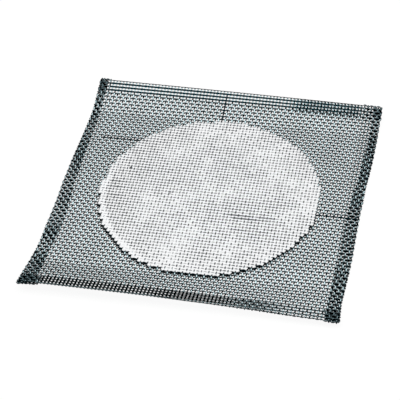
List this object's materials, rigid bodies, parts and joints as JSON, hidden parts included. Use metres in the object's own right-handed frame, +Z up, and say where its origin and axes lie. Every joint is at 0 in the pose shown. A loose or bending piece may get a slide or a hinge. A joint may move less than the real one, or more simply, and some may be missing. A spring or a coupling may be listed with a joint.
{
  "type": "wire gauze",
  "caption": "Square of woven iron wire cloth with folded hems and a round ceramic centre, laid over a tripod to spread a burner's flame under glassware.",
  "frame": {"origin": "centre of the gauze, on the surface that it lies on", "axes": "+Z up from the surface it lies on; X runs from the left side hem to the right side hem; +Y points to the back hem, the one that is lifted most"},
  "size_m": [0.1228, 0.1204, 0.0061],
  "materials": {
    "iron_wire": "satin",
    "white_ceramic": "matte"
  },
  "bodies": {
    "root": {"wire_cloth": "iron_wire", "ceramic_centre": "white_ceramic"}
  },
  "joints": []
}
